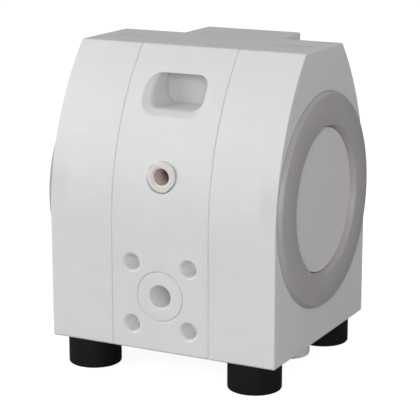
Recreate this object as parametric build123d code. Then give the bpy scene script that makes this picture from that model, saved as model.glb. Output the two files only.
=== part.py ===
from build123d import *
import os
from math import sqrt, cos, sin, radians

# Solid-block air operated double diaphragm pump.
# Millimetres, +Z up, origin on the floor under the middle of the pump.
# -Y is the suction (front) side, +Y the discharge (rear) side, X the diaphragm axis.

# ---------------------------------------------------------------- driving sizes
HOUSING_W = 181.0        # over the two side housings, X
CENTER_W = 78.0          # centre housing, X
DEPTH = 163.0            # front face to rear face, Y
HEIGHT = 216.0           # block height without feet
TANGENT_Z = 90.0         # height above the underside where front and rear start to curve
CURVE_R = 187.0          # radius of the curved upper front and rear
REAR_Y = 73.5            # flat discharge face at the top of the rear
FOOT_H = 22.0
FOOT_R = 19.7
FOOT_X, FOOT_Y = 66.2, 61.7
AXIS_H = 105.6           # diaphragm axis above the underside
PORT_LOW = 41.4          # suction port centre above the underside
PORT_HIGH = HEIGHT - PORT_LOW
CHANNEL_LOW = 38.0       # cross channels above the underside
CHANNEL_HIGH = HEIGHT - CHANNEL_LOW
PORT_R = 8.6             # half-inch port bore
CHANNEL_R = 7.0
FLANGE_PCD = 65.0        # DN15 PN16 bolt circle
FLANGE_HOLE_R = 6.2      # M12 studs
FLANGE_MOUTH_R = 7.35    # chamfered mouth
FLANGE_HOLE_DEPTH = 17.0
SLEEVE_R = 18.2
SLEEVE_GAP = 0.8         # shallow groove round the port sleeve's flange
INLET_H = 128.5          # air inlet and exhaust above the underside
INLET_R = 6.15
COLLAR_R, COLLAR_AF = 11.3, 20.4   # round collar with two spanner flats
COLLAR_FACE, COLLAR_SEAT = 78.9, 75.2
RING_RO, RING_RI = 79.3, 53.6   # ring cover
RING_PEAK = 5.0          # how far the ring cover stands out of the side face
DISC_R = 53.0
COLUMN_X = 64.6          # valve columns
COLUMN_R = 11.5
BALL_R = 8.0
BALL_LIFT = 4.0
STROKE = 5.0             # rod travel each way
CHAMBER_R = 47.0
DIA_R = 56.0             # diaphragm outer radius
ROD_R = 8.0
VALVE_H = 134.0          # air valve cartridge axis above the underside
VALVE_R = 12.5
BOLT_PCR = 65.5          # clamp stud circle radius
BOLT_ANGLES = (0, 45, 135, 180, 225, 315)
SEAM = 0.6               # chamfer along the seams
POCKET_HALF_W, POCKET_LOW, POCKET_TOP, POCKET_BACK = 20.8, 173.4, 197.5, -28.0

XS = CENTER_W / 2        # seam planes
XO = HOUSING_W / 2       # outer side faces
YF = DEPTH / 2
Z0 = FOOT_H              # underside of the block
ZC = Z0 + AXIS_H

os.makedirs("parts", exist_ok=True)


# ---------------------------------------------------------------- helpers
def cx(r, x0, x1, y=0.0, z=0.0):
    return Pos((x0 + x1) / 2, y, z) * Rot(0, 90, 0) * Cylinder(r, abs(x1 - x0))


def cy(r, y0, y1, x=0.0, z=0.0):
    return Pos(x, (y0 + y1) / 2, z) * Rot(90, 0, 0) * Cylinder(r, abs(y1 - y0))


def cz(r, z0, z1, x=0.0, y=0.0):
    return Pos(x, y, (z0 + z1) / 2) * Cylinder(r, abs(z1 - z0))


def box(x0, x1, y0, y1, z0, z1):
    return Pos((x0 + x1) / 2, (y0 + y1) / 2, (z0 + z1) / 2) * Box(abs(x1 - x0), abs(y1 - y0), abs(z1 - z0))


def rev_x(points):
    """Solid of revolution about X from (x, r) corners, set on the diaphragm axis."""
    face = make_face(Polyline(*[(p[0], p[1]) for p in points], close=True))
    return Pos(0, 0, ZC) * revolve(face, Axis.X, 360)


def rev_z(points, x=0.0, y=0.0, z=0.0):
    """Solid of revolution about Z from (r, z) corners."""
    face = make_face(Plane.XZ * Polyline(*[(p[0], p[1]) for p in points], close=True))
    return Pos(x, y, z) * revolve(face, Axis.Z, 360)


def torus_x(rm, rt, x, y, z):
    return Pos(x, y, z) * Rot(0, 90, 0) * Torus(rm, rt)


def torus_y(rm, rt, x, y, z):
    return Pos(x, y, z) * Rot(90, 0, 0) * Torus(rm, rt)


def torus_z(rm, rt, x, y, z):
    return Pos(x, y, z) * Torus(rm, rt)


def hexa(af, h):
    return extrude(RegularPolygon(radius=af / 2, side_count=6, major_radius=False), amount=h)


def mirror_x(s):
    return mirror(s, about=Plane.YZ)


def save(name, *solids):
    shapes = []
    for s in solids:
        shapes.extend(s.solids())
    out = shapes[0] if len(shapes) == 1 else Compound(children=shapes)
    export_step(out, "parts/" + name + ".step")


# ---------------------------------------------------------------- block outlines
def face_y(h):
    """Distance of the curved face from the middle plane at height h above the underside."""
    if h <= TANGENT_Z:
        return YF
    return YF - CURVE_R + sqrt(CURVE_R ** 2 - (h - TANGENT_Z) ** 2)


YT = face_y(HEIGHT)
HM = TANGENT_Z + CURVE_R * sin(radians(23.0))
YM = face_y(HM)


def block(x0, x1, square_rear):
    zt, zu, zm = Z0 + TANGENT_Z, Z0 + HEIGHT, Z0 + HM
    front = [
        Line((-YF, Z0), (-YF, zt)),
        ThreePointArc((-YF, zt), (-YM, zm), (-YT, zu)),
    ]
    if square_rear:
        hr = TANGENT_Z + sqrt(CURVE_R ** 2 - (REAR_Y - YF + CURVE_R) ** 2)
        hk = (TANGENT_Z + hr) / 2
        rest = [
            Line((-YT, zu), (REAR_Y, zu)),
            Line((REAR_Y, zu), (REAR_Y, Z0 + hr)),
            ThreePointArc((REAR_Y, Z0 + hr), (face_y(hk), Z0 + hk), (YF, zt)),
            Line((YF, zt), (YF, Z0)),
        ]
    else:
        rest = [
            Line((-YT, zu), (YT, zu)),
            ThreePointArc((YT, zu), (YM, zm), (YF, zt)),
            Line((YF, zt), (YF, Z0)),
        ]
    rest.append(Line((YF, Z0), (-YF, Z0)))
    face = make_face([Plane.YZ * e for e in front + rest])
    return Pos(x0, 0, 0) * Solid.extrude(face.face(), Vector(x1 - x0, 0, 0))


def edges_at_x(s, x):
    return s.edges().filter_by_position(Axis.X, x - 0.01, x + 0.01)


def long_edges(s, y, z):
    return [
        e for e in s.edges().filter_by(Axis.X)
        if abs(e.center().Y - y) < 0.05 and abs(e.center().Z - z) < 0.05
    ]


# ================================================================ centre housing
center = block(-XS, XS, True)
center = fillet(long_edges(center, -YT, Z0 + HEIGHT), 3.0)
center = fillet(long_edges(center, REAR_Y, Z0 + HEIGHT), 2.5)
center = chamfer(long_edges(center, -YF, Z0) + long_edges(center, YF, Z0), 1.0)
center = chamfer(edges_at_x(center, -XS), SEAM)
center = chamfer(edges_at_x(center, XS), SEAM)

# hand pocket: a level tunnel whose mouth flares out to the sides and below, along the sloping face
def pocket_section(y, o):
    lo, hi, hw = POCKET_LOW - 1.0 * o, POCKET_TOP + 0.12 * o, POCKET_HALF_W + o
    sk = RectangleRounded(2 * hw, hi - lo, 8.5 + 0.55 * o)
    return Plane(origin=(0, y, Z0 + (lo + hi) / 2), x_dir=(1, 0, 0), z_dir=(0, -1, 0)) * sk


HP = (POCKET_LOW + POCKET_TOP) / 2
SLOPE = (HP - TANGENT_Z) / CURVE_R           # sine of the face's lean at the pocket


def mouth_section(depth, o):
    """Slice of the pocket's outline, grown by o, parallel to the sloping face and depth below it."""
    nrm = Vector(0, -sqrt(1 - SLOPE ** 2), SLOPE)
    at = Vector(0, -face_y(HP), Z0 + HP) - nrm * depth
    return section(extrude(pocket_section(0.0, o), amount=90), section_by=Plane(origin=at, z_dir=nrm)).face()


pocket = extrude(pocket_section(POCKET_BACK, 0.0), amount=64.0 + POCKET_BACK)
pocket += loft([mouth_section(-3.0, 9.3), mouth_section(3.5, 0.8), mouth_section(5.5, 0.0)], ruled=True)
center -= pocket

def flange_hole(sy, x, z):
    """Blind stud hole with a countersunk mouth, cut from face sy."""
    lip = FLANGE_MOUTH_R - FLANGE_HOLE_R
    f = YF if sy < 0 else REAR_Y
    pts = [(0, f + 1), (FLANGE_MOUTH_R + 1, f + 1), (FLANGE_HOLE_R, f - lip),
           (FLANGE_HOLE_R, f - FLANGE_HOLE_DEPTH), (0, f - FLANGE_HOLE_DEPTH - 1.5)]
    face = make_face(Polyline(*pts, close=True))
    cut = revolve(face, Axis.Y, 360)
    return Pos(x, 0, z) * (cut if sy > 0 else mirror(cut, about=Plane.XZ))


def sleeve_groove(sy, f, z):
    """Shallow bevel in the housing round the port sleeve."""
    r = SLEEVE_R + SLEEVE_GAP
    pts = [(0, f + 1), (r + 1, f + 1), (r, f), (SLEEVE_R + 0.1, f - 0.8), (0, f - 0.8)]
    cut = revolve(make_face(Polyline(*pts, close=True)), Axis.Y, 360)
    return Pos(0, 0, z) * (cut if sy > 0 else mirror(cut, about=Plane.XZ))


# suction side: port sleeve seat, bore, flange holes; discharge side the same at the rear
for sy, f, hp, hc in ((-1, YF, PORT_LOW, CHANNEL_LOW), (1, REAR_Y, PORT_HIGH, CHANNEL_HIGH)):
    zp, zc = Z0 + hp, Z0 + hc
    center -= cy(SLEEVE_R + 0.1, sy * (f - 6.0), sy * (f + 2), 0, zp)
    center -= sleeve_groove(sy, f, zp)
    center -= cy(13.0, sy * (f - 38.0), sy * f, 0, zp)
    center -= cy(PORT_R + 0.4, sy * (f - 37.0), -sy * 7.0, 0, zp)
    center -= cx(CHANNEL_R, -XS - 1, XS + 1, 0, zc)
    for a in (45, 135, 225, 315):
        px, pz = FLANGE_PCD / 2 * cos(radians(a)), FLANGE_PCD / 2 * sin(radians(a))
        center -= flange_hole(sy, px, zp + pz)
    for sx in (-1, 1):
        center -= cx(10.2, sx * (XS - 1.9), sx * (XS + 1), 0, zc) - cx(8.2, sx * (XS - 3), sx * (XS + 2), 0, zc)

# air chambers, diaphragm seats, rod bore
for sx in (-1, 1):
    air = rev_x([(sx * 27.0, 0), (sx * 27.0, 42.0), (sx * 33.0, CHAMBER_R), (sx * (XS + 1), CHAMBER_R), (sx * (XS + 1), 0)])
    center -= air
    center -= cx(DIA_R + 0.2, sx * (XS - 2.5), sx * (XS + 1), 0, ZC)
center -= cx(11.0, -28, 28, 0, ZC)

# air valve cartridge bore and its passages
ZV = Z0 + VALVE_H
ZI = Z0 + INLET_H
center -= cx(VALVE_R, -28, 28, 0, ZV)
center -= cy(5.0, -60.0, -8.0, 0, ZI)
center -= cy(8.6, -YF + 1, -55.6, 0, ZI)
center -= cy(COLLAR_R + 0.7, -YF - 4, -COLLAR_SEAT, 0, ZI)
for sx in (-1, 1):
    center -= cx(2.0, sx * 7.0, sx * 28.0, -17.0, ZV + 4)
    center -= cy(2.0, -18.5, -9.0, sx * 9.0, ZV + 4)
    center -= cy(2.5, 9.0, 18.0, sx * 18.0, ZV)
center -= box(-21, 21, 16, 24, ZV - 5, ZV + 3)
center -= cy(10.0, 22.0, YF + 1, 0, ZI)
center -= cy(COLLAR_R + 0.7, COLLAR_SEAT, YF + 4, 0, ZI)

# clamp stud and dowel holes
STUDS = [(BOLT_PCR * cos(radians(a)), ZC + BOLT_PCR * sin(radians(a))) for a in BOLT_ANGLES]
DOWELS = [(-58.0, Z0 + 22.0), (58.0, Z0 + 22.0)]
for y, z in STUDS:
    center -= cx(4.5, -XS - 1, XS + 1, y, z)
for y, z in DOWELS:
    for sx in (-1, 1):
        center -= cx(3.0, sx * (XS - 8), sx * (XS + 1), y, z)
save("center_housing", center)

# ================================================================ side housings
side = block(XS, XO, False)
side = fillet(long_edges(side, -YT, Z0 + HEIGHT) + long_edges(side, YT, Z0 + HEIGHT), 3.0)
side = chamfer(long_edges(side, -YF, Z0) + long_edges(side, YF, Z0), 1.0)
side = fillet(edges_at_x(side, XO), 0.7)
side = chamfer(edges_at_x(side, XS), SEAM)
# liquid chamber with the diaphragm seat
side -= rev_x([(XS - 1, 0), (XS - 1, CHAMBER_R), (XS + 3.0, CHAMBER_R), (XS + 11.5, 36.0), (XS + 11.5, 0)])
side -= cx(DIA_R + 0.2, XS - 1, XS + 2.5, 0, ZC)
side -= cx(9.0, XS + 10, COLUMN_X, 0, ZC)
# valve column, stepped so that each seat and cage stands against a shoulder
side -= cz(COLUMN_R, Z0 - 1, Z0 + 74.0, COLUMN_X)
side -= cz(COLUMN_R - 1.0, Z0 + 73.0, Z0 + 135.0, COLUMN_X)
side -= cz(COLUMN_R, Z0 + 134.0, Z0 + HEIGHT + 1, COLUMN_X)
side -= cz(14.0, Z0 + HEIGHT - 8.0, Z0 + HEIGHT + 1, COLUMN_X)
for hc in (CHANNEL_LOW, CHANNEL_HIGH):
    side -= cx(CHANNEL_R, XS - 1, COLUMN_X, 0, Z0 + hc)
# outer recess for clamp ring and ring cover, boss for the disc
recess = cx(RING_RO + 0.2, XO - 12.0, XO + 2, 0, ZC) - cx(RING_RI - 0.2, XO - 13, XO - 4.0, 0, ZC)
side -= recess
side -= cx(4.0, XO - 12.0, XO, 0, ZC)
for y, z in STUDS:
    side -= cx(4.5, XS - 1, XO - 11, y, z)
for y, z in DOWELS:
    side -= cx(3.0, XS - 1, XS + 10, y, z)
# foot inserts
for sy in (-1, 1):
    side -= cz(6.5, Z0 - 1, Z0 + 16.0, FOOT_X, sy * FOOT_Y)
save("right_side_housing", side)
save("left_side_housing", mirror_x(side))

# ================================================================ clamping
clamp = cx(78.9, XO - 12.0, XO - 7.5, 0, ZC) - cx(55.0, XO - 13, XO, 0, ZC)
for y, z in STUDS:
    clamp -= cx(4.5, XO - 13, XO, y, z)
save("right_clamp_ring", clamp)
save("left_clamp_ring", mirror_x(clamp))

studs = [chamfer(cx(4.0, -XO - 0.9, XO + 0.9, y, z).edges().filter_by(GeomType.CIRCLE), 0.8) for y, z in STUDS]
save("clamp_studs", *studs)
nuts, washers = [], []
for y, z in STUDS:
    n = hexa(13.0, 6.4) - Pos(0, 0, 3.2) * Cylinder(4.0, 8)
    n = Pos(XO - 5.9, y, z) * Rot(0, 90, 0) * n
    w = cx(8.0, XO - 7.5, XO - 5.9, y, z) - cx(4.2, XO - 9, XO, y, z)
    nuts += [n, mirror_x(n)]
    washers += [w, mirror_x(w)]
save("clamp_nuts", *nuts)
save("clamp_washers", *washers)

dowels = []
for y, z in DOWELS:
    d = chamfer(cx(2.97, XS - 7.6, XS + 9.4, y, z).edges().filter_by(GeomType.CIRCLE), 0.5)
    dowels += [d, mirror_x(d)]
save("housing_dowels", *dowels)

# ring cover: a convex shell over the studs and nuts
xi = XO - 7.5
xp = XO + RING_PEAK
rm = 66.4
ro, ri = (XO + 3.5, RING_RO - 1.7), (XO + 3.9, RING_RI + 1.3)
outer = [
    Line((xi, RING_RO), (XO + 0.5, RING_RO)),
    Line((XO + 0.5, RING_RO), ro),
    ThreePointArc(ro, (xp, rm), ri),
    Line(ri, (XO - 0.5, RING_RI)),
    Line((XO - 0.5, RING_RI), (xi, RING_RI)),
    Line((xi, RING_RI), (xi, RING_RI + 2.4)),
    Line((xi, RING_RI + 2.4), (XO, RING_RI + 2.6)),
    ThreePointArc((XO, RING_RI + 2.6), (xp - 2.4, rm), (XO, RING_RO - 2.8)),
    Line((XO, RING_RO - 2.8), (xi, RING_RO - 2.4)),
    Line((xi, RING_RO - 2.4), (xi, RING_RO)),
]
cover = Pos(0, 0, ZC) * revolve(make_face(outer), Axis.X, 360)
cover = fillet([e for e in cover.edges().filter_by(GeomType.CIRCLE) if abs(e.center().X - ro[0]) < 0.02 and abs(e.radius - ro[1]) < 0.02], 1.3)
cover = fillet([e for e in cover.edges().filter_by(GeomType.CIRCLE) if abs(e.center().X - ri[0]) < 0.02 and abs(e.radius - ri[1]) < 0.02], 1.0)
save("right_ring_cover", cover)
save("left_ring_cover", mirror_x(cover))

disc = cx(DISC_R, XO - 4.0, XO, 0, ZC) + cx(3.95, XO - 12.0, XO - 3, 0, ZC)
disc = fillet([e for e in disc.edges().filter_by(GeomType.CIRCLE)
               if abs(e.center().X - XO) < 0.05 and e.radius > 40], 0.6)
save("right_cover_disc", disc)
save("left_cover_disc", mirror_x(disc))

# ================================================================ diaphragms and rod
dia = rev_x([
    (XS - 2.5, 48.0), (XS - 2.5, DIA_R), (XS + 2.5, DIA_R), (XS + 2.5, 48.0), (XS + 1.5, 47.0),
    (XS + 3.2, 41.0), (XS + 2.0, 34.0), (XS + 0.6, 30.3), (XS - 2.0, 30.3),
    (XS - 0.8, 35.0), (XS + 0.4, 41.0), (XS - 1.5, 46.0),
])
save("right_diaphragm", dia)
save("left_diaphragm", mirror_x(dia))
core = rev_x([
    (33.0, ROD_R), (33.0, 22.0), (36.0, 24.0), (37.5, 30.0), (XS + 0.8, 30.0), (XS + 3.2, 26.0),
    (XS + 5.2, 16.0), (XS + 5.6, 0.0), (41.5, 0.0), (41.5, ROD_R),
])
save("right_diaphragm_core", core)
save("left_diaphragm_core", mirror_x(core))
rod = cx(ROD_R, -41.5, 41.5, 0, ZC)
rod = chamfer(rod.edges().filter_by(GeomType.CIRCLE), 0.6)
save("diaphragm_rod", rod)
bush = cx(11.0, 14.0, 27.0, 0, ZC) - cx(ROD_R + 0.05, 10, 30, 0, ZC)
save("rod_bushes", bush, mirror_x(bush))
seal = cx(11.0, 10.0, 13.6, 0, ZC) - cx(ROD_R + 0.05, 9, 15, 0, ZC)
save("rod_seals", seal, mirror_x(seal))

# ================================================================ air valve
SL = 22.5
sleeve = cx(VALVE_R - 0.05, -SL, SL, 0, ZV) - cx(7.0, -SL - 1, SL + 1, 0, ZV)
GROOVES = (-18.0, -9.0, 0.0, 9.0, 18.0)
for gx in GROOVES:
    sleeve -= cx(VALVE_R + 1, gx - 2.0, gx + 2.0, 0, ZV) - cx(VALVE_R - 2.0, gx - 2.5, gx + 2.5, 0, ZV)
    sleeve -= cy(1.4, -14, 14, gx, ZV)
    sleeve -= cz(1.4, ZV - 14, ZV + 14, gx, 0)
RINGS = (-13.5, -4.5, 4.5, 13.5)
orings = []
for gx in RINGS:
    sleeve -= cx(VALVE_R + 1, gx - 1.0, gx + 1.0, 0, ZV) - cx(VALVE_R - 1.85, gx - 1.5, gx + 1.5, 0, ZV)
    orings.append(torus_x(VALVE_R - 0.95, 0.88, gx, 0, ZV))
save("air_valve_sleeve", sleeve)
save("air_valve_o_rings", *orings)
cap = cx(VALVE_R - 0.05, SL, 27.0, 0, ZV) - cx(3.3, 20, 30, 0, ZV)
cap += cx(6.9, SL - 2.5, SL, 0, ZV) - cx(3.3, 18, 30, 0, ZV)
save("air_valve_end_caps", cap, mirror_x(cap))
piston = cx(6.95, -16.0, 16.0, 0, ZV)
for gx in (-8.0, 8.0):
    piston -= cx(8, gx - 4.0, gx + 4.0, 0, ZV) - cx(5.2, gx - 5, gx + 5, 0, ZV)
piston -= cx(3.05, -20, 20, 0, ZV)
save("main_piston", piston)
pilot = cx(3.0, -24.5, 24.5, 0, ZV)
for gx in (-10.0, 0.0, 10.0):
    pilot -= cx(4, gx - 1.5, gx + 1.5, 0, ZV) - cx(2.2, gx - 2, gx + 2, 0, ZV)
pilot = chamfer([e for e in pilot.edges().filter_by(GeomType.CIRCLE) if abs(e.center().X) > 24 and e.radius > 2.9], 0.4)
save("pilot_piston", pilot)

# ================================================================ air connections
def adapter(bore_r, stem_r, stem_len):
    """Round collar with two spanner flats, stem into the housing, bore; front adapter pointing to -Y."""
    collar = cy(COLLAR_R, -COLLAR_FACE, -COLLAR_SEAT, 0, ZI)
    collar = chamfer([e for e in collar.edges().filter_by(GeomType.CIRCLE) if e.center().Y < -COLLAR_FACE + 0.1], 0.8)
    a = collar & (Pos(0, -COLLAR_SEAT, ZI) * Rot(0, 45, 0) * Box(COLLAR_AF, 20, 40))
    a += cy(stem_r, -COLLAR_SEAT, -COLLAR_SEAT + stem_len, 0, ZI)
    a -= cy(bore_r, -YF - 5, 0, 0, ZI)
    return a


inlet = adapter(INLET_R + 1.2, 8.55, 19.0)
save("air_inlet_adapter", inlet)
insert = cy(INLET_R + 1.17, -COLLAR_FACE + 0.6, -COLLAR_SEAT + 19.0, 0, ZI) - cy(INLET_R, -YF - 5, 0, 0, ZI)
insert = chamfer([e for e in insert.edges().filter_by(GeomType.CIRCLE)
                  if abs(e.center().Y + COLLAR_FACE - 0.6) < 0.05 and e.radius < 7], 0.5)
save("air_inlet_insert", insert)
exhaust = mirror(adapter(7.2, 9.95, 12.0), about=Plane.XZ)
exhaust = chamfer([e for e in exhaust.edges().filter_by(GeomType.CIRCLE)
                   if abs(e.center().Y - COLLAR_FACE) < 0.05 and e.radius < 8], 0.8)
save("exhaust_adapter", exhaust)
muffler = cy(9.7, 26.0, 60.0, 0, ZI) - cy(6.7, 29.0, 61.0, 0, ZI)
save("exhaust_muffler", muffler)

# ================================================================ liquid ports
sleeves = []
srings = []
for sy, f, hp in ((-1, YF, PORT_LOW), (1, REAR_Y, PORT_HIGH)):
    zp = Z0 + hp
    s = cy(SLEEVE_R, sy * (f - 6.0), sy * f, 0, zp) + cy(12.95, sy * (f - 38.0), sy * (f - 5), 0, zp)
    s -= cy(PORT_R, sy * (f - 40), sy * (f + 1), 0, zp)
    s -= cy(14.0, sy * (f - 30), sy * (f - 27.6), 0, zp) - cy(10.9, sy * (f - 31), sy * (f - 27), 0, zp)
    s = chamfer([e for e in s.edges().filter_by(GeomType.CIRCLE) if abs(e.center().Y - sy * f) < 0.05 and e.radius > 12], 0.65)
    s = chamfer([e for e in s.edges().filter_by(GeomType.CIRCLE) if abs(e.center().Y - sy * f) < 0.05 and e.radius < 12], 0.5)
    sleeves.append(s)
    srings.append(torus_y(11.93, 1.0, 0, sy * (f - 28.8), zp))
save("suction_port_sleeve", sleeves[0])
save("discharge_port_sleeve", sleeves[1])
save("port_sleeve_o_rings", *srings)
corings = []
for hc in (CHANNEL_LOW, CHANNEL_HIGH):
    for sx in (-1, 1):
        corings.append(torus_x(9.2, 0.94, sx * (XS - 0.95), 0, Z0 + hc))
save("channel_o_rings", *corings)

# ================================================================ ball valves
SEAT_R = 5.8
BALL_UP = 5.2            # ball centre above the seat's top when closed


def seat(base):
    pts = [(SEAT_R, base), (COLUMN_R - 0.05, base), (COLUMN_R - 0.05, base + 6.0), (SEAT_R + 0.5, base + 6.0), (SEAT_R, base + 5.5)]
    return rev_z(pts, COLUMN_X, 0, Z0)


def cage(base):
    c = cz(COLUMN_R - 0.1, base, base + 22.0, COLUMN_X) - cz(BALL_R + 0.5, base - 1, base + 17.6, COLUMN_X)
    c -= box(COLUMN_X - 3.5, COLUMN_X + 3.5, -14, 14, base + 8.5, base + 23)
    c -= box(COLUMN_X - 14, COLUMN_X + 14, -3.5, 3.5, base + 8.5, base + 23)
    return Pos(0, 0, Z0) * c


for nm, base in (("suction", 46.0), ("discharge", 134.0)):
    s, c = seat(base), cage(base + 6.0)
    save(nm + "_valve_seats", mirror_x(s), s)
    save(nm + "_valve_cages", mirror_x(c), c)
    b = Pos(COLUMN_X, 0, Z0 + base + 6.0 + BALL_UP) * Sphere(BALL_R)
    save("right_" + nm + "_ball", b)
    save("left_" + nm + "_ball", mirror_x(b))

# plugs: the lower one has a round head under the block, the upper one sits flush
low = cz(COLUMN_R - 0.05, Z0, Z0 + 46.0, COLUMN_X) - cz(8.6, Z0 + 28.0, Z0 + 47.0, COLUMN_X)
low -= cx(CHANNEL_R, COLUMN_X - 20, COLUMN_X + 20, 0, Z0 + CHANNEL_LOW)
low -= cz(13, Z0 + 20.0, Z0 + 22.6, COLUMN_X) - cz(9.3, Z0 + 19, Z0 + 23, COLUMN_X)
head = cz(16.0, Z0 - 15.0, Z0, COLUMN_X)
head = fillet([e for e in head.edges().filter_by(GeomType.CIRCLE) if e.center().Z < Z0 - 14], 2.0)
low += head
for sy in (-1, 1):
    low -= cz(1.6, Z0 - 16.0, Z0 - 9.0, COLUMN_X, sy * 9.0)
save("right_bottom_plug", low)
save("left_bottom_plug", mirror_x(low))

top = cz(COLUMN_R - 0.05, Z0 + 162.0, Z0 + HEIGHT - 7.9, COLUMN_X) - cz(8.6, Z0 + 161, Z0 + 188.0, COLUMN_X)
top -= cx(CHANNEL_R, COLUMN_X - 20, COLUMN_X + 20, 0, Z0 + CHANNEL_HIGH)
top -= cz(13, Z0 + 194.0, Z0 + 196.6, COLUMN_X) - cz(9.3, Z0 + 193, Z0 + 197, COLUMN_X)
cap_t = cz(13.75, Z0 + HEIGHT - 8.0, Z0 + HEIGHT, COLUMN_X)
cap_t = chamfer([e for e in cap_t.edges().filter_by(GeomType.CIRCLE) if e.center().Z > Z0 + HEIGHT - 1], 0.35)
top += cap_t
for sy in (-1, 1):
    top -= cz(1.25, Z0 + HEIGHT - 5.0, Z0 + HEIGHT + 1, COLUMN_X, sy * 8.5)
save("right_top_plug", top)
save("left_top_plug", mirror_x(top))
prings = []
for z in (21.3, 195.3):
    p = torus_z(10.4, 1.05, COLUMN_X, 0, Z0 + z)
    prings += [p, mirror_x(p)]
save("plug_o_rings", *prings)

# ================================================================ feet
names = {(-1, -1): "front_left_foot", (1, -1): "front_right_foot", (-1, 1): "rear_left_foot", (1, 1): "rear_right_foot"}
screws, fwash, inserts = [], [], []
for (sx, sy), nm in names.items():
    x, y = sx * FOOT_X, sy * FOOT_Y
    f = cz(FOOT_R, 0, FOOT_H, x, y)
    f = fillet([e for e in f.edges().filter_by(GeomType.CIRCLE) if e.center().Z < 1], 1.4)
    f = chamfer([e for e in f.edges().filter_by(GeomType.CIRCLE) if e.center().Z > FOOT_H - 1], 0.5)
    f -= cz(9.5, -1, 12.0, x, y)
    f -= cz(4.3, -1, FOOT_H + 1, x, y)
    save(nm, f)
    fwash.append(cz(9.0, 10.4, 12.0, x, y) - cz(4.3, 9, 13, x, y))
    sc = cz(6.5, 5.0, 10.4, x, y) + cz(4.0, 10.0, Z0 + 14.0, x, y)
    sc -= Pos(x, y, 4.0) * hexa(6.0, 4.0)
    screws.append(sc)
    inserts.append(cz(6.5, Z0 + 0.5, Z0 + 16.0, x, y) - cz(4.0, Z0, Z0 + 17, x, y))
save("foot_washers", *fwash)
save("foot_screws", *screws)
save("foot_thread_inserts", *inserts)
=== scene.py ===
import bpy, bmesh, math
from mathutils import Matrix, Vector


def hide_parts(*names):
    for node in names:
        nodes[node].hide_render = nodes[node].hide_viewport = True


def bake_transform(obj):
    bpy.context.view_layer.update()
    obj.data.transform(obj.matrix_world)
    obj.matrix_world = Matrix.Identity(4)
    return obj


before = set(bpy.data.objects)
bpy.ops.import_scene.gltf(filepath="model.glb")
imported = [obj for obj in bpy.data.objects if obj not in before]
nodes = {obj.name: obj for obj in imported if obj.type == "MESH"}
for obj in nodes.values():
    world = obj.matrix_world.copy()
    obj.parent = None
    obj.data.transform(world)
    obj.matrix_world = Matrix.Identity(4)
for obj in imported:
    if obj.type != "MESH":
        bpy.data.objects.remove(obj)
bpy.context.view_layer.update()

scene = bpy.context.scene


# ------------------------------------------------------------------ node helpers
class Mat:
    """A Principled material with its node tree and a few shorthands."""

    def __init__(self, name, rough=0.5, **sockets):
        self.m = bpy.data.materials.new(name)
        self.m.use_nodes = True
        self.t = self.m.node_tree
        self.n = self.t.nodes
        self.bsdf = self.n.get("Principled BSDF")
        self.bsdf.inputs["Roughness"].default_value = rough
        for k, v in sockets.items():
            self.bsdf.inputs[k.replace("_", " ")].default_value = v
        self.co = self.n.new("ShaderNodeTexCoord").outputs["Object"]

    def link(self, a, b):
        self.t.links.new(a, b)

    def mapping(self, scale=(1, 1, 1), rot=(0, 0, 0), loc=(0, 0, 0)):
        mp = self.n.new("ShaderNodeMapping")
        mp.inputs["Scale"].default_value = scale
        mp.inputs["Rotation"].default_value = rot
        mp.inputs["Location"].default_value = loc
        self.link(self.co, mp.inputs["Vector"])
        return mp.outputs["Vector"]

    def noise(self, scale, detail=3.0, rough=0.5, vec=None, distortion=0.0):
        t = self.n.new("ShaderNodeTexNoise")
        t.inputs["Scale"].default_value = scale
        t.inputs["Detail"].default_value = detail
        t.inputs["Roughness"].default_value = rough
        t.inputs["Distortion"].default_value = distortion
        self.link(vec if vec is not None else self.co, t.inputs["Vector"])
        return t.outputs["Fac"]

    def ramp(self, fac, stops):
        r = self.n.new("ShaderNodeValToRGB")
        e = r.color_ramp.elements
        while len(e) < len(stops):
            e.new(0.5)
        for el, (p, c) in zip(e, stops):
            el.position = p
            el.color = (*c, 1.0) if len(c) == 3 else c
        self.link(fac, r.inputs["Fac"])
        return r.outputs["Color"]

    def maprange(self, fac, a, b, c, d):
        r = self.n.new("ShaderNodeMapRange")
        for k, v in zip(("From Min", "From Max", "To Min", "To Max"), (a, b, c, d)):
            r.inputs[k].default_value = v
        self.link(fac, r.inputs["Value"])
        return r.outputs["Result"]

    def math(self, op, a, b=None):
        r = self.n.new("ShaderNodeMath")
        r.operation = op
        for i, v in enumerate((a, b)):
            if v is None:
                continue
            if isinstance(v, (int, float)):
                r.inputs[i].default_value = v
            else:
                self.link(v, r.inputs[i])
        return r.outputs[0]

    def mix(self, a, b, fac, blend="MIX"):
        r = self.n.new("ShaderNodeMix")
        r.data_type = "RGBA"
        r.blend_type = blend
        for sock, v in ((r.inputs[0], fac), (r.inputs[6], a), (r.inputs[7], b)):
            if isinstance(v, (int, float)):
                sock.default_value = v
            elif isinstance(v, tuple):
                sock.default_value = (*v, 1.0) if len(v) == 3 else v
            else:
                self.link(v, sock)
        return r.outputs[2]

    def bump(self, height, strength, distance, normal=None):
        b = self.n.new("ShaderNodeBump")
        b.inputs["Strength"].default_value = strength
        b.inputs["Distance"].default_value = distance
        self.link(height, b.inputs["Height"])
        if normal is not None:
            self.link(normal, b.inputs["Normal"])
        return b.outputs["Normal"]

    def base(self, c):
        self.link(c, self.bsdf.inputs["Base Color"])

    def roughness(self, r):
        self.link(r, self.bsdf.inputs["Roughness"])

    def normal(self, nrm):
        self.link(nrm, self.bsdf.inputs["Normal"])


def tint(c, k):
    return tuple(min(1.0, v * k) for v in c)


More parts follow.
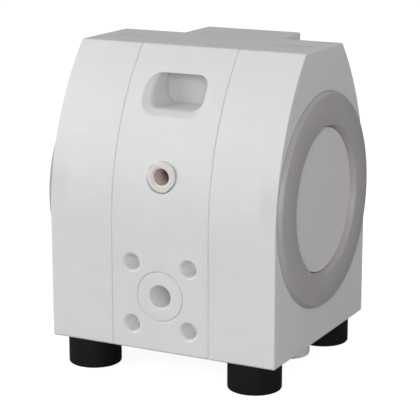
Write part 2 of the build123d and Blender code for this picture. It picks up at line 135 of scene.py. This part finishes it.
def cavity_painted_light_and_shade(m, c, kind):
    """Painted light and shade in cavities: the walls of the narrow bores are painted near white as painted light, and
    the deep hand pocket is painted a little duller as painted shade.
    """
    sep = m.n.new("ShaderNodeSeparateXYZ")
    m.link(m.co, sep.inputs[0])
    x, y, z = sep.outputs
    zc = m.math("ADD", m.math("MULTIPLY", m.math("GREATER_THAN", y, 0.0), PORT_TOP - PORT_BOTTOM), PORT_BOTTOM)
    off = HOLE_OFFSET if kind == "holes" else 0.0
    reach = 0.0063 if kind == "holes" else 0.0089
    u = m.math("SUBTRACT", m.math("ABSOLUTE", x), off)
    w = m.math("SUBTRACT", m.math("ABSOLUTE", m.math("SUBTRACT", z, zc)), off)
    d = m.math("SQRT", m.math("ADD", m.math("MULTIPLY", u, u), m.math("MULTIPLY", w, w)))
    wall = m.math("MULTIPLY", m.maprange(d, reach + 0.0002, reach, 0.0, 1.0), m.math("GREATER_THAN", d, reach - 0.0008))
    if kind == "holes":                        # the holes' conical bottoms keep the block's own tone
        floor_y = m.math("SUBTRACT", 0.0652, m.math("MULTIPLY", m.math("GREATER_THAN", y, 0.0), 0.008))
        wall = m.math("MULTIPLY", wall, m.math("GREATER_THAN", m.math("ABSOLUTE", y), floor_y))
    # painted light: the bore walls are brightened to near white
    c = m.mix(c, (0.985, 0.975, 0.975), wall)
    if kind == "holes":
        # painted shade: the back of the deep hand pocket is painted darker
        deep = m.maprange(y, -0.034, -0.0285, 0.0, 1.0)
        inx = m.math("LESS_THAN", m.math("ABSOLUTE", x), 0.0212)
        inz = m.math("MULTIPLY", m.math("GREATER_THAN", z, 0.1945), m.math("LESS_THAN", z, 0.2205))
        front = m.math("LESS_THAN", y, -0.02)
        k = m.math("MULTIPLY", m.math("MULTIPLY", deep, front), m.math("MULTIPLY", inx, inz))
        c = m.mix(c, (0.84, 0.825, 0.83), k, "MULTIPLY")
    return c


def machined_plastic(name, col, rough=0.46, axis="x", mark=1.0, mottle=0.02, sss=0.0, kind=None):
    """Milled or turned white plastic: soft mottling, fine tool marks, tiny scuffs."""
    m = Mat(name, rough)
    big = m.noise(9.0, 3.0, 0.55)
    mid = m.noise(60.0, 4.0, 0.6)
    base = m.ramp(big, [(0.30, tint(col, 1.0 - mottle)), (0.70, tint(col, 1.0 + mottle))])
    fine = m.ramp(mid, [(0.35, (0.965, 0.965, 0.965)), (0.65, (1.0, 1.0, 1.0))])
    c = m.mix(base, fine, 0.55, "MULTIPLY")
    scale = {"x": (6, 900, 900), "z": (900, 900, 6), "y": (900, 6, 900), "round": (700, 700, 700)}[axis]
    v = m.mapping(scale=scale)
    marks = m.noise(1.0, 2.0, 0.5, v)
    scuff = m.noise(240.0, 5.0, 0.65)
    c = m.mix(c, m.ramp(marks, [(0.3, (0.975, 0.975, 0.975)), (0.7, (1.0, 1.0, 1.0))]), 0.5, "MULTIPLY")
    # kind adds painted light on the bore walls and painted shade in the hand pocket
    if kind:
        c = cavity_painted_light_and_shade(m, c, kind)
    m.base(c)
    m.roughness(m.maprange(m.noise(45.0, 4.0, 0.6), 0.3, 0.7, rough - 0.05, rough + 0.07))
    n1 = m.bump(marks, 0.10 * mark, 0.00006)
    n2 = m.bump(scuff, 0.10, 0.00005, n1)
    m.normal(n2)
    if sss:
        m.bsdf.inputs["Subsurface Weight"].default_value = sss
        m.bsdf.inputs["Subsurface Radius"].default_value = (1.0, 0.94, 0.90)
        m.bsdf.inputs["Subsurface Scale"].default_value = 0.004
    return m.m


def turned(name, col, centre, axis, rough=0.46, period=0.0006, mottle=0.02):
    """Plastic turned on a lathe: fine rings about an axis through centre."""
    m = Mat(name, rough)
    loc = tuple(-c for c in centre)
    v = m.mapping(loc=loc)
    sep = m.n.new("ShaderNodeSeparateXYZ")
    m.link(v, sep.inputs[0])
    a, b = [i for i in range(3) if i != "xyz".index(axis)]
    r = m.math("SQRT", m.math("ADD", m.math("MULTIPLY", sep.outputs[a], sep.outputs[a]),
                              m.math("MULTIPLY", sep.outputs[b], sep.outputs[b])))
    wob = m.math("ADD", r, m.math("MULTIPLY", m.noise(30.0, 2.0), 0.0006))
    rings = m.math("SINE", m.math("MULTIPLY", wob, 2 * math.pi / period))
    rnd = m.n.new("ShaderNodeCombineXYZ")
    m.link(m.math("MULTIPLY", r, 1.0), rnd.inputs[0])
    band = m.n.new("ShaderNodeTexNoise")
    band.inputs["Scale"].default_value = 420.0
    band.inputs["Detail"].default_value = 3.0
    m.link(rnd.outputs[0], band.inputs["Vector"])
    big = m.noise(14.0, 3.0, 0.55)
    base = m.ramp(big, [(0.30, tint(col, 1.0 - mottle)), (0.70, tint(col, 1.0 + mottle))])
    c = m.mix(base, m.ramp(band.outputs["Fac"], [(0.3, (0.965, 0.965, 0.965)), (0.7, (1, 1, 1))]), 0.6, "MULTIPLY")
    c = m.mix(c, m.ramp(m.noise(170.0, 4.0, 0.6), [(0.35, (0.97, 0.97, 0.97)), (0.65, (1, 1, 1))]), 0.5, "MULTIPLY")
    m.base(c)
    m.roughness(m.maprange(band.outputs["Fac"], 0.3, 0.7, rough - 0.04, rough + 0.06))
    n1 = m.bump(band.outputs["Fac"], 0.12, 0.00008)
    n2 = m.bump(rings, 0.05, 0.00003, n1)
    m.normal(n2)
    return m.m


def rubber(name, col, rough=0.55, grain=900.0, strength=0.25, spec=0.5):
    m = Mat(name, rough, Specular_IOR_Level=spec)
    g = m.noise(grain, 4.0, 0.6)
    dust = m.noise(38.0, 4.0, 0.65)
    c = m.ramp(dust, [(0.35, tint(col, 0.85)), (0.62, col), (0.8, tuple(v * 1.35 + 0.003 for v in col))])
    m.base(c)
    m.roughness(m.maprange(dust, 0.3, 0.75, rough - 0.06, rough + 0.12))
    m.normal(m.bump(g, strength, 0.00006))
    return m.m


def metal(name, col, rough=0.3, stretch=(900, 900, 40), metallic=1.0, rim=None):
    m = Mat(name, rough, Metallic=metallic)
    v = m.mapping(scale=stretch)
    b = m.noise(1.0, 3.0, 0.6, v)
    big = m.noise(60.0, 3.0, 0.5)
    c = m.mix(m.ramp(big, [(0.3, tint(col, 0.92)), (0.7, tint(col, 1.05))]),
              m.ramp(b, [(0.3, (0.88, 0.88, 0.88)), (0.7, (1, 1, 1))]), 0.6, "MULTIPLY")
    if rim:                                    # pale end face outside the bore's wall
        sep = m.n.new("ShaderNodeSeparateXYZ")
        m.link(m.co, sep.inputs[0])
        w = m.math("SUBTRACT", sep.outputs[2], INLET_Z)
        d = m.math("SQRT", m.math("ADD", m.math("MULTIPLY", sep.outputs[0], sep.outputs[0]), m.math("MULTIPLY", w, w)))
        c = m.mix(c, rim, m.maprange(d, 0.0062, 0.0066, 0.0, 1.0))
        # painted shade: the bore is painted darker deeper inside
        c = m.mix(c, (0.45, 0.40, 0.39), m.maprange(sep.outputs[1], -0.0705, -0.062, 0.0, 1.0), "MULTIPLY")
    m.base(c)
    m.roughness(m.maprange(b, 0.3, 0.7, rough - 0.06, rough + 0.1))
    m.normal(m.bump(b, 0.15, 0.00003))
    return m.m


# ------------------------------------------------------------------ materials
AXIS_Z = 0.1276
PORT_BOTTOM, PORT_TOP, HOLE_OFFSET = 0.0634, 0.1966, 0.02298
INLET_Z = 0.1505
white = (0.80, 0.80, 0.81)
M = {
    "housing": machined_plastic("housing_plastic", white, 0.45, "x", sss=0.35, kind="holes"),
    "housing_side": machined_plastic("housing_plastic_side", white, 0.45, "z"),
    "ring": turned("ring_cover_plastic", (0.492, 0.465, 0.472), (0, 0, AXIS_Z), "x", 0.42, 0.0009, 0.03),
    "disc": turned("cover_disc_plastic", (0.81, 0.785, 0.795), (0, 0, AXIS_Z), "x", 0.46, 0.0007, 0.02),
    "plug": machined_plastic("plug_plastic", (0.76, 0.76, 0.76), 0.46, "round"),
    "port": machined_plastic("port_plastic", (0.80, 0.80, 0.80), 0.44, "round", sss=0.35, kind="bore"),
    "collar": machined_plastic("collar_plastic", (0.83, 0.80, 0.79), 0.38, "round", sss=0.35),
    "valve": machined_plastic("valve_plastic", (0.60, 0.60, 0.58), 0.4, "x"),
    "bush": machined_plastic("bush_plastic", (0.30, 0.28, 0.25), 0.4, "x"),
    "muffler": rubber("muffler_plastic", (0.72, 0.71, 0.68), 0.8, 1400.0, 0.6),
    "steel": metal("ring_steel", (0.60, 0.60, 0.60), 0.32, (900, 40, 40)),
    "fast": metal("fastener_steel", (0.62, 0.62, 0.61), 0.28, (40, 900, 900)),
    "rod": metal("rod_steel", (0.66, 0.66, 0.66), 0.14, (30, 900, 900)),
    "brass": metal("insert_brass", (0.72, 0.55, 0.28), 0.3, (900, 900, 60)),
    "diaphragm": rubber("diaphragm_rubber", (0.80, 0.79, 0.75), 0.5, 600.0, 0.15),
    "ball": rubber("ball_rubber", (0.09, 0.09, 0.09), 0.45, 700.0, 0.2),
    "seal": rubber("seal_rubber", (0.03, 0.03, 0.03), 0.4, 900.0, 0.2),
    "bronze": metal("insert_bronze", (0.90, 0.78, 0.735), 0.45, (60, 900, 60), 0.0, (0.86, 0.845, 0.835)),
    "foot": rubber("foot_rubber", (0.0085, 0.0070, 0.0075), 0.5, 800.0, 0.22, 0.17),
}
USE = {
    "center_housing": "housing", "left_side_housing": "housing", "right_side_housing": "housing",
    "left_clamp_ring": "steel", "right_clamp_ring": "steel",
    "left_ring_cover": "ring", "right_ring_cover": "ring",
    "left_cover_disc": "disc", "right_cover_disc": "disc",
    "clamp_studs": "fast", "clamp_nuts": "fast", "clamp_washers": "fast",
    "foot_screws": "fast", "foot_washers": "fast", "housing_dowels": "port",
    "left_diaphragm": "diaphragm", "right_diaphragm": "diaphragm",
    "left_diaphragm_core": "port", "right_diaphragm_core": "port",
    "diaphragm_rod": "rod", "rod_bushes": "bush", "rod_seals": "seal",
    "air_valve_sleeve": "valve", "air_valve_o_rings": "seal", "air_valve_end_caps": "valve",
    "main_piston": "bush", "pilot_piston": "rod",
    "air_inlet_adapter": "collar", "air_inlet_insert": "bronze", "exhaust_adapter": "collar", "exhaust_muffler": "muffler",
    "suction_port_sleeve": "port", "discharge_port_sleeve": "port",
    "port_sleeve_o_rings": "seal", "channel_o_rings": "seal", "plug_o_rings": "seal",
    "suction_valve_seats": "port", "discharge_valve_seats": "port",
    "suction_valve_cages": "port", "discharge_valve_cages": "port",
    "left_suction_ball": "ball", "right_suction_ball": "ball",
    "left_discharge_ball": "ball", "right_discharge_ball": "ball",
    "left_bottom_plug": "plug", "right_bottom_plug": "plug", "left_top_plug": "plug", "right_top_plug": "plug",
    "front_left_foot": "foot", "front_right_foot": "foot", "rear_left_foot": "foot", "rear_right_foot": "foot",
    "foot_thread_inserts": "brass",
}
for name, obj in nodes.items():
    obj.data.materials.clear()
    obj.data.materials.append(M[USE[name]])

# ------------------------------------------------------------------ stage
floor_mat = Mat("floor_plain", 0.9)
floor_mat.base(floor_mat.ramp(floor_mat.noise(2.0, 2.0), [(0.3, (0.35, 0.35, 0.352)), (0.7, (0.37, 0.37, 0.372))]))
floor_mat.bsdf.inputs["Specular IOR Level"].default_value = 0.1
floor_mat.bsdf.inputs["Emission Color"].default_value = (1, 1, 1, 1)
floor_mat.bsdf.inputs["Emission Strength"].default_value = 0.90
me = bpy.data.meshes.new("floor")
s = 12.0
z = -0.0002
me.from_pydata([(-s, -s, z), (s, -s, z), (s, s, z), (-s, s, z)], [], [(0, 1, 2, 3)])
floor = bpy.data.objects.new("floor", me)
scene.collection.objects.link(floor)
floor.data.materials.append(floor_mat.m)

world = bpy.data.worlds.new("world")
scene.world = world
world.use_nodes = True
world.node_tree.nodes["Background"].inputs["Color"].default_value = (1, 1, 1, 1)
world.node_tree.nodes["Background"].inputs["Strength"].default_value = 0.216


def area(name, loc, target, size, energy, size_y=None):
    d = bpy.data.lights.new(name, "AREA")
    d.energy = energy
    d.size = size
    if size_y:
        d.shape = "RECTANGLE"
        d.size_y = size_y
    o = bpy.data.objects.new(name, d)
    scene.collection.objects.link(o)
    o.location = loc
    o.rotation_euler = (Vector(target) - Vector(loc)).to_track_quat("-Z", "Y").to_euler()
    return o


def studio(name, azimuth, elevation, energy, size=1.4, dist=2.6):
    """Large soft panel; azimuth 0 faces the suction side, positive towards +X."""
    a, e = math.radians(azimuth), math.radians(elevation)
    t = Vector((0, 0, 0.12))
    return area(name, t + Vector((math.sin(a) * math.cos(e), -math.cos(a) * math.cos(e), math.sin(e))) * dist, t, size, energy)


studio("front_left", -40, 20, 19.0)
studio("front_right", 25, 15, 23.0, 0.9)
studio("right", 90, 20, 8.8)
studio("left", -70, 30, 20.0)
studio("rear", 170, 38, 5.0)

# the floor's own glow lights only the floor, so the pale backdrop does not wash out the underside
glow = bpy.data.collections.new("floor_only")
glow.objects.link(floor)
floor.light_linking.receiver_collection = glow

# ------------------------------------------------------------------ camera
AZ, EL, DIST, F_PX = 27.001, 13.615, 1.22891, 1634.02
az, el = math.radians(AZ), math.radians(EL)
look = Vector((0, 0, 0.08799 + 0.0220)) + Vector((math.cos(az), math.sin(az), 0)) * -0.00098
back = Vector((math.sin(az) * math.cos(el), -math.cos(az) * math.cos(el), math.sin(el)))
cd = bpy.data.cameras.new("camera")
cam = bpy.data.objects.new("camera", cd)
scene.collection.objects.link(cam)
cam.location = look + back * DIST
cam.rotation_euler = (-back).to_track_quat("-Z", "Y").to_euler()
cd.sensor_fit = "HORIZONTAL"
cd.sensor_width = 36.0
cd.lens = 36.0 * F_PX / 420.0
cd.clip_start, cd.clip_end = 0.01, 60.0
scene.camera = cam
scene.view_settings.view_transform = "Standard"

# ------------------------------------------------------------------ membranes
def membrane(node, sectors=12):
    """The rubber bends between its clamped rim and the core in its eye. It is cut in sectors about the pump's axis, one
    object each, and the whole diaphragm is hidden."""
    half = math.pi / sectors
    for i in range(sectors):
        a = 2 * half * i
        bm = bmesh.new()
        bm.from_mesh(nodes[node].data)
        for side in (-1, 1):
            t = a + side * half
            bmesh.ops.bisect_plane(bm, geom=bm.verts[:] + bm.edges[:] + bm.faces[:], dist=1e-7, plane_co=(0, 0, AXIS_Z),
                                   plane_no=(0, -side * math.sin(t), side * math.cos(t)), clear_outer=True)
        mesh = bpy.data.meshes.new("%s_sector_%02d" % (node, i))
        bm.to_mesh(mesh)
        bm.free()
        mesh.materials.append(nodes[node].material_slots[0].material)
        o = bpy.data.objects.new(mesh.name, mesh)
        scene.collection.objects.link(o)
        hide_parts(node)
        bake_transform(o)


membrane("left_diaphragm")
membrane("right_diaphragm")
